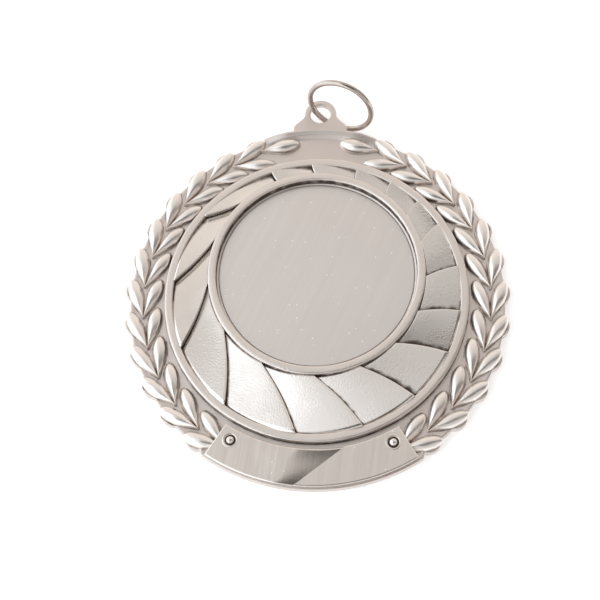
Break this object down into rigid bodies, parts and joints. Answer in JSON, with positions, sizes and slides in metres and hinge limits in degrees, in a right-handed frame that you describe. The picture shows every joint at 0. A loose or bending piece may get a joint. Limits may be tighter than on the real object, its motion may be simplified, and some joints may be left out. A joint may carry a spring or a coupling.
{
  "type": "medal",
  "caption": "Round award medal with a laurel border, a swirl round a centre recess, an engraving plate and a split ring for a ribbon.",
  "frame": {"origin": "middle of the flat back, on the axis of the outline", "axes": "+Z out of the face, +Y from the middle towards the hanging loop, +X to the right seen from the front"},
  "size_m": [0.05, 0.0543, 0.0094],
  "materials": {
    "cast_silver": "satin to polished nickel-silver plate over zinc casting",
    "disc_metal": "fine brushed, matt lacquer",
    "adhesive": "soft matt pad",
    "plate_metal": "straight brushed grain",
    "pin_metal": "polished",
    "ring_wire": "polished steel wire"
  },
  "bodies": {
    "medal": {"medal_body": "cast_silver", "centre_disc": "disc_metal", "disc_adhesive": "adhesive", "engraving_plate": "plate_metal", "left_pin": "pin_metal", "right_pin": "pin_metal"},
    "ring": {"jump_ring": "ring_wire"}
  },
  "joints": [
    {"name": "ring_swivel", "type": "hinge", "parent": "medal", "child": "ring", "pos_m": [0, 0.0272, 0.0047], "axis": [0, 0, 1], "range_deg": [0, 216]}
  ]
}
